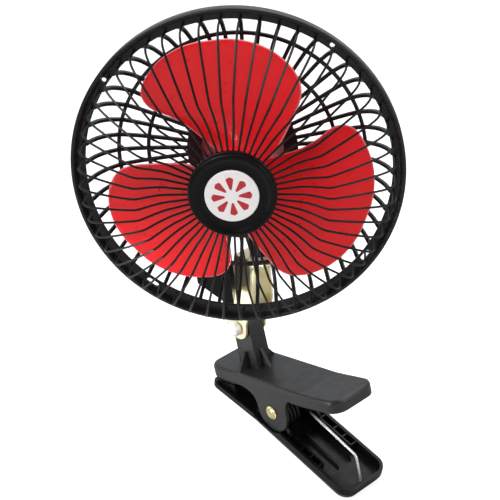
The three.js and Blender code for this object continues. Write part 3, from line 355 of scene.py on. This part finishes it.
def around(part, count, start=0.0):
    step = 360 / count
    return merged([moved(part, turn(start + i * step, "Z")) for i in range(count)])


def finish_mesh(mesh, sharp):
    """Smooth shading with a hard edge wherever two faces turn by more than `sharp` degrees."""
    mesh.shade_smooth()
    mesh.set_sharp_from_angle(angle=math.radians(sharp))


def object_of(name, part, place):
    """An object in the row frame from a part drawn in millimetres at its place."""
    vertices, faces = part
    mesh = bpy.data.meshes.new(name)
    mesh.from_pydata([tuple(place @ (Vector(v) * MM)) for v in vertices], [], faces)
    mesh.validate()
    bm = bmesh.new()
    bm.from_mesh(mesh)
    bmesh.ops.recalc_face_normals(bm, faces=bm.faces)
    bm.to_mesh(mesh)
    bm.free()
    result = bpy.data.objects.new(name, mesh)
    bpy.context.scene.collection.objects.link(result)
    return result


def make(name, part, place, body, material, stands_for=(), sharp=40):
    """A visible piece that rides on a body and may stand for CAD nodes."""
    piece = object_of(name, part, place)
    finish_mesh(piece.data, sharp)
    piece.data.materials.append(MATERIALS[material])
    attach(piece, body)
    if stands_for:
        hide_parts(*stands_for)
    return piece


def plate(outline, low, high):
    """A flat plate of one outline."""
    n = len(outline)
    vertices = [(x, y, low) for x, y in outline] + [(x, y, high) for x, y in outline]
    faces = ring_faces(2, n)
    return vertices, faces + [tuple(range(n - 1, -1, -1)), tuple(range(n, 2 * n))]


def cut_out(piece, part, place, sharp=40):
    """Cut a part's shape out of a piece."""
    cutter = object_of("cutter", part, place)
    cutter_mesh = cutter.data
    tool = piece.modifiers.new("openings", "BOOLEAN")
    tool.operation = "DIFFERENCE"
    tool.object = cutter
    bpy.context.view_layer.update()
    shaped = piece.evaluated_get(bpy.context.evaluated_depsgraph_get())
    result = bpy.data.meshes.new_from_object(shaped)
    piece.modifiers.clear()
    piece.data = result
    finish_mesh(result, sharp)
    bpy.data.objects.remove(cutter)
    bpy.data.meshes.remove(cutter_mesh)


# ------------------------------------------------------------------ CAD nodes: finish and shading
SLOT_OF = {s["node"]: s["material_slot"] for s in frame["record"]["subparts"]}
for name, node in frame["nodes"].items():
    node.data.materials.clear()
    # the lower grip gets the darker, painted-shade copy of the grip plastic
    node.data.materials.append(POLISHED_SHADED if name == "lower_grip" else MATERIALS[SLOT_OF[name]])
    finish_mesh(node.data, 32)

# The handle of the upper grip rises from a faint crease across the plate.
CREASE_Y = -86.5 * MM
grip = frame["nodes"]["upper_grip"].data
for edge in grip.edges:
    if all(abs(grip.vertices[i].co.y - CREASE_Y) < 0.05 * MM for i in edge.vertices):
        edge.use_edge_sharp = True

# ------------------------------------------------------------------ rear guard
# Head pieces are drawn about the fan's axis: (radius, height), with the front at +Z.
RIM = 104.8
RIB_COUNT = 48
RIB_HALF = 1.2
RIM_PROFILE = [
    (96.6, -9.5), (103.2, -9.5), (104.6, -8.5), (RIM, -1.0), (104.3, -0.1), (102.8, -0.1),
    (102.2, -1), (101.6, -6.3), (100.6, -7.3), (96.6, -7.5),
]
RIB_POINTS = [
    (99.6, -8.6), (97.4, -11.4), (95.6, -16.5), (92.8, -22.8), (88, -29.4), (81.4, -34.9),
    (79, -36.3), (70.8, -38.6), (61.4, -40.4), (48, -42.2), (34, -43.6),
]


def bar(radius, z, width=2.4, height=2.4):
    """A ring of square section."""
    w, h = width / 2, height / 2
    outline = [(radius - w, z - h), (radius + w, z - h), (radius + w, z + h), (radius - w, z + h)]
    return lathe(fillet(outline, 0.5, 2), 160)


rib_section = fillet([(-RIB_HALF, -RIB_HALF), (RIB_HALF, -RIB_HALF),
                      (RIB_HALF, RIB_HALF), (-RIB_HALF, RIB_HALF)], 0.45, 2)
rib = sweep(radial_curve(RIB_POINTS), rib_section, (0, 1, 0))
hub_plate = lathe(fillet([(27, -45.2), (36.5, -45.2), (36.5, -42.2), (27, -42.2)], 0.5, 2), 96)
outer_ring, inner_ring = bar(80.2, -36), bar(61.4, -40.45)
make("rear_guard_moulding",
     merged([around(rib, RIB_COUNT), outer_ring, inner_ring, hub_plate]),
     HEAD, "fan_head", "guard_plastic", stands_for=["rear_guard"])
rim = make("rear_guard_rim", lathe(fillet(RIM_PROFILE, 0.5, 3), 200),
           HEAD, "fan_head", "guard_plastic")

# Two round holes and two slots go through the rim's ledge.
HOLE_RADIUS = 1.6
HOLE_CIRCLE = 99.6
HOLE_ANGLE = 48
SLOT_LENGTH = 9
openings = []
for index in range(4):
    half = 0 if index < 2 else SLOT_LENGTH / 2 - HOLE_RADIUS
    outline = []
    for degrees in range(0, 360, 20):
        x, y = math.cos(math.radians(degrees)), math.sin(math.radians(degrees))
        end = half if degrees < 180 else -half
        outline.append((HOLE_CIRCLE + HOLE_RADIUS * x, HOLE_RADIUS * y + end))
    openings.append(moved(plate(outline, -12, -3), turn(HOLE_ANGLE + 90 * index, "Z")))
cut_out(rim, merged(openings), HEAD)

# ------------------------------------------------------------------ front guard
WIRE_POINTS = [
    (25.6, 29), (34, 28.8), (42, 28.5), (48, 29.8), (54, 32.2), (59, 34), (65, 32.2), (74, 28.3),
    (82, 24.2), (90, 19.6), (94.9, 15.2), (97.2, 10.4), (97.9, 5), (98, -6.7),
]
WIRE_COUNT = 53
WIRE_RADIUS = 0.74
front_wire = sweep(radial_curve(WIRE_POINTS), circle(WIRE_RADIUS, 8), (0, 1, 0))
front_hub = lathe(fillet([(19.5, 27.5), (27.2, 27.5), (27.2, 30.5), (19.5, 30.5)], 0.6, 3), 96)
make("front_guard_wires", merged([around(front_wire, WIRE_COUNT), front_hub]),
     HEAD, "fan_head", "wire_plastic", stands_for=["front_guard"])

# ------------------------------------------------------------------ hub cap and badge
CAP_BACK = 30.8
cap_profile = [
    (0, CAP_BACK), (26.4, CAP_BACK), (26.9, CAP_BACK + 1.6), (26.2, CAP_BACK + 3.2),
    (24.8, CAP_BACK + 3.75), (23.4, CAP_BACK + 3.3), (21.6, CAP_BACK + 2.2), (19, CAP_BACK + 1.9),
    (17.4, CAP_BACK + 2.2), (16.85, CAP_BACK + 2.0), (16.85, CAP_BACK + 1.4), (0, CAP_BACK + 1.4),
]
make("hub_cap_moulding", lathe(fillet(cap_profile, 0.5, 3, False), 128),
     HEAD, "fan_head", "cap_plastic", stands_for=["hub_cap"], sharp=60)
BADGE_BACK, BADGE_TOP, BADGE_RADIUS = CAP_BACK + 1.75, CAP_BACK + 3.4, 16.5
badge_profile = [(0, BADGE_BACK), (BADGE_RADIUS, BADGE_BACK), (BADGE_RADIUS, BADGE_TOP - 0.3),
                 (BADGE_RADIUS - 0.4, BADGE_TOP), (0, BADGE_TOP)]
make("hub_badge_disc", lathe(fillet(badge_profile, 0.3, 3, False), 96),
     HEAD, "fan_head", "badge_white", stands_for=["hub_badge"])

# The badge carries a plain pattern of printed rays.
RAY_COUNT = 8
PRINT = 0.05
ray = fillet([(0.55, 4.2), (2.5, 11.2), (0, 12.6), (-2.5, 11.2), (-0.55, 4.2)], 0.8, 4)
make("badge_rays", around(plate(ray, BADGE_TOP - PRINT, BADGE_TOP + PRINT), RAY_COUNT),
     HEAD, "fan_head", "badge_red")

# ------------------------------------------------------------------ propeller
BLADE_COUNT = 3
BLADE_TIP = 86.2
BLADE_PITCH = 0.235  # fall for each degree round the axis
HUB_RADIUS = 16.9
# Each row of a blade: its radius, and the degrees where it starts and ends.
BLADE_ROWS = [
    (13, 32, 132), (22, 31.5, 132), (30, 32.5, 131.7), (42, 38.5, 132), (54, 43.2, 135),
    (64, 46, 138), (72, 50, 137), (78, 56.5, 132.5), (82.5, 65.5, 122), (84.6, 72.5, 114.5),
    (85.8, 80, 106), (86.15, 87, 99),
]


def blade_point(r, degrees):
    """A point of the twisted middle surface of a blade."""
    angle = math.radians(degrees)
    height = -1.5 - BLADE_PITCH * (degrees - 90)
    return Vector((r * math.cos(angle), r * math.sin(angle), height))


def highlit_blade_bead(rows):
    """The thin bead that follows a blade's outline from the hub and back to it."""
    rows = [row for row in rows if row[0] > HUB_RADIUS - 0.9]
    path = [blade_point(r, first) for r, first, last in rows]
    path += [blade_point(r, last) for r, first, last in reversed(rows)]
    return sweep(path, circle(0.55, 6), (0, 0, 1))


def blade(rows):
    """One blade: a twisted sheet with rounded edges, a little thicker in its middle."""
    columns = 25
    edge_reach, tip_reach = 2.5, 2.2
    edge_half, middle_half = 0.2, 0.62
    top, bottom = [], []
    for r, first, last in rows:
        for k in range(columns):
            share = 0.5 - 0.5 * math.cos(math.pi * k / (columns - 1))
            degrees = first + share * (last - first)
            x, y, z = blade_point(r, degrees)
            width = math.radians(last - first) * r
            edge = min(1, min(share, 1 - share) * width / edge_reach)
            end = min(1, (BLADE_TIP - r) / tip_reach)
            half = edge_half + middle_half * math.sqrt(max(0, min(edge, end)))
            top.append((x, y, z + half))
            bottom.append((x, y, z - half))
    n = len(rows)

    def at(side, i, k):
        return (side * n + i) * columns + k

    faces = []
    for i in range(n - 1):
        for k in range(columns - 1):
            faces.append((at(0, i, k), at(0, i + 1, k), at(0, i + 1, k + 1), at(0, i, k + 1)))
            faces.append((at(1, i, k), at(1, i, k + 1), at(1, i + 1, k + 1), at(1, i + 1, k)))
        for k in (0, columns - 1):
            faces.append((at(0, i, k), at(1, i, k), at(1, i + 1, k), at(0, i + 1, k)))
    for k in range(columns - 1):
        for i in (0, n - 1):
            faces.append((at(0, i, k), at(0, i, k + 1), at(1, i, k + 1), at(1, i, k)))
    return top + bottom, faces


# The hub is closed in front and has the shaft's bore from behind.
prop_hub = lathe([(0, 15.5), *fillet([
    (2, 15.5), (8.5, 14.9), (13.6, 12.8), (HUB_RADIUS, 8.6), (HUB_RADIUS, -17), (1.85, -17),
    (1.85, 9.3),
], 1.2, 4, False), (0, 9.3)], 96)
blade_rows = curve_through([Vector(row) for row in BLADE_ROWS], 3)
make("propeller_moulding", merged([around(blade(blade_rows), BLADE_COUNT), prop_hub]),
     HEAD, "rotor", "red_plastic", stands_for=["propeller"], sharp=50)
# The bead round each blade is painted paler: a painted highlight along the blade edges.
make("highlit_blade_beads", around(highlit_blade_bead(blade_rows), BLADE_COUNT),
     HEAD, "rotor", "highlit_blade_bead")

# ------------------------------------------------------------------ clip spring
# Drawn about the pin: s runs to the handles, t is up, x is sideways.
WIRE = 0.95
COIL_RADIUS, COIL_S, COIL_T = 10.3, -2.4, -5.1
TURNS, COIL_STEPS = 4, 160
COIL_START_X, COIL_END_X = 0.5, -12.2
LOWER_REACH, FOOT_T = 65.2, -49.2
UNDER_PLATE, TIP_LENGTH = 19.8, 30
BEND = 2.5
SPLIT = 5
lower_aim, upper_aim = math.radians(-29.4), math.radians(80)
first, last = math.pi / 2 + lower_aim, upper_aim - math.pi / 2 + TURNS * 2 * math.pi
coil = []
for i in range(COIL_STEPS + 1):
    share = i / COIL_STEPS
    a = first + share * (last - first)
    coil.append(Vector((COIL_S + COIL_RADIUS * math.cos(a), COIL_T + COIL_RADIUS * math.sin(a),
                        COIL_START_X + (COIL_END_X - COIL_START_X) * share)))
along = Vector((math.cos(lower_aim), math.sin(lower_aim), 0))
lower_end = coil[0] + along * LOWER_REACH
foot = Vector((lower_end.x, FOOT_T, lower_end.z))
s1, t1, x1 = coil[-1]
bend = Vector((s1 + (UNDER_PLATE - t1) / math.tan(upper_aim), UNDER_PLATE, x1))
tip = bend + Vector((TIP_LENGTH, 0, 0))
# The wire bends when the grips are squeezed: all but the first 5 mm of its lower leg follows
# the lower grip, and the curls stay with the upper grip.
leg = fillet([foot, lower_end, coil[0] + along * (SPLIT + 0.05)], BEND, 5, False)
upper_leg = fillet([coil[-1], bend, tip], BEND, 5, False)
curls = [coil[0] + along * (SPLIT - 0.05), *coil[:-1], *upper_leg]


def wire(path):
    """Round wire along a path of (s, t, x) points."""
    return sweep([Vector((x, -s, t)) for s, t, x in path], circle(WIRE, 10), (1, 0, 0))


make("clip_spring_curls", wire(curls), PIVOT, "clip_base", "spring_steel",
     stands_for=["clip_spring"])
make("clip_spring_leg", wire(leg), PIVOT, "lower_lever", "spring_steel")

# ------------------------------------------------------------------ stage, lights, camera
FLOOR_HALF = 6
FLOOR_GLOW = 0.85
corners = [(-FLOOR_HALF, -FLOOR_HALF, 0), (FLOOR_HALF, -FLOOR_HALF, 0),
           (FLOOR_HALF, FLOOR_HALF, 0), (-FLOOR_HALF, FLOOR_HALF, 0)]
floor_mesh = bpy.data.meshes.new("floor")
floor_mesh.from_pydata(corners, [], [(0, 1, 2, 3)])
floor = bpy.data.objects.new("floor", floor_mesh)
floor.location.z = cad_box[0].z - 1 * MM
bpy.context.scene.collection.objects.link(floor)
# The floor takes the object's shadow, and glows to white for the camera alone.
n = Nodes("floor_white")
n.set(Base_Color=(0.6, 0.6, 0.6, 1), Roughness=0.7)
path = n.add("ShaderNodeLightPath")
glow = n.add("ShaderNodeEmission")
glow.inputs["Color"].default_value = (1, 1, 1, 1)
glow.inputs["Strength"].default_value = FLOOR_GLOW
both = n.add("ShaderNodeAddShader")
lit = n.add("ShaderNodeMixShader")
n.link(n.shader.outputs["BSDF"], both.inputs[0])
n.link(glow.outputs["Emission"], both.inputs[1])
n.link(path.outputs["Is Camera Ray"], lit.inputs["Fac"])
n.link(n.shader.outputs["BSDF"], lit.inputs[1])
n.link(both.outputs["Shader"], lit.inputs[2])
n.link(lit.outputs["Shader"], n.tree.nodes["Material Output"].inputs["Surface"])
floor.data.materials.append(n.material)

world = bpy.data.worlds.new("studio")
bpy.context.scene.world = world
world.use_nodes = True
tree = world.node_tree
tree.nodes.clear()
# The studio is white behind the object and dim on the camera's side.
soft = tree.nodes.new("ShaderNodeBackground")
soft.inputs["Color"].default_value = (0.92, 0.95, 1.0, 1)
direction = tree.nodes.new("ShaderNodeTexCoord")
towards = tree.nodes.new("ShaderNodeVectorMath")
towards.operation = "DOT_PRODUCT"
towards.inputs[1].default_value = (0.59, 0.81, 0.0)
tree.links.new(direction.outputs["Generated"], towards.inputs[0])
strength = tree.nodes.new("ShaderNodeMapRange")
for socket, number in zip(("From Min", "From Max", "To Min", "To Max"), (-0.4, 0.7, 0.12, 0.72)):
    strength.inputs[socket].default_value = number
tree.links.new(towards.outputs["Value"], strength.inputs["Value"])
tree.links.new(strength.outputs["Result"], soft.inputs["Strength"])
white = tree.nodes.new("ShaderNodeBackground")
white.inputs["Color"].default_value = (1, 1, 1, 1)
white.inputs["Strength"].default_value = 1.0
ray_kind = tree.nodes.new("ShaderNodeLightPath")
mix = tree.nodes.new("ShaderNodeMixShader")
out = tree.nodes.new("ShaderNodeOutputWorld")
tree.links.new(ray_kind.outputs["Is Camera Ray"], mix.inputs["Fac"])
tree.links.new(soft.outputs["Background"], mix.inputs[1])
tree.links.new(white.outputs["Background"], mix.inputs[2])
tree.links.new(mix.outputs["Shader"], out.inputs["Surface"])

# The camera's own axes in the row frame, and where the bolt stands before it.
right = Vector((0.744, -0.638, -0.201)).normalized()
ahead = Vector((0.555, 0.757, -0.345))
ahead = (ahead - right * ahead.dot(right)).normalized()
up = right.cross(ahead)
FOCAL_PX, FRAME_PX = 1200, 500
camera_data = bpy.data.cameras.new("camera")
camera_data.sensor_width = 36
camera_data.lens = 36 * FOCAL_PX / FRAME_PX
camera_data.clip_start = 0.05
camera = bpy.data.objects.new("camera", camera_data)
eye = BOLT - (right * -2.2 + up * -52.4 + ahead * 882) * MM
camera.matrix_world = Matrix((
    (right.x, up.x, -ahead.x, eye.x), (right.y, up.y, -ahead.y, eye.y),
    (right.z, up.z, -ahead.z, eye.z), (0, 0, 0, 1),
))
bpy.context.scene.collection.objects.link(camera)
bpy.context.scene.camera = camera
FAN = Vector((-0.02, -0.08, 0.12))
YOKE = Vector((0, -0.035, 0.088))


def lamp(name, sideways, height, nearer, size, watts, target=FAN, spread=180):
    """A square soft box, placed from its target along the camera's own axes."""
    data = bpy.data.lights.new(name, "AREA")
    data.size = size
    data.energy = watts
    data.spread = math.radians(spread)
    light = bpy.data.objects.new(name, data)
    light.location = target + right * sideways + up * height - ahead * nearer
    aim = target - light.location
    light.rotation_mode = "QUATERNION"
    light.rotation_quaternion = aim.to_track_quat("-Z", "Y")
    bpy.context.scene.collection.objects.link(light)


lamp("key", -1.0, 0.9, 1.1, 1.0, 25)
lamp("fill", 1.2, 0.3, 1.0, 1.0, 9)
lamp("top", 0.2, 1.5, -0.1, 1.0, 6)
lamp("yoke_card", -0.28, -0.10, 0.12, 0.12, 0.13, YOKE, 40)

bpy.context.scene.view_settings.view_transform = "Standard"
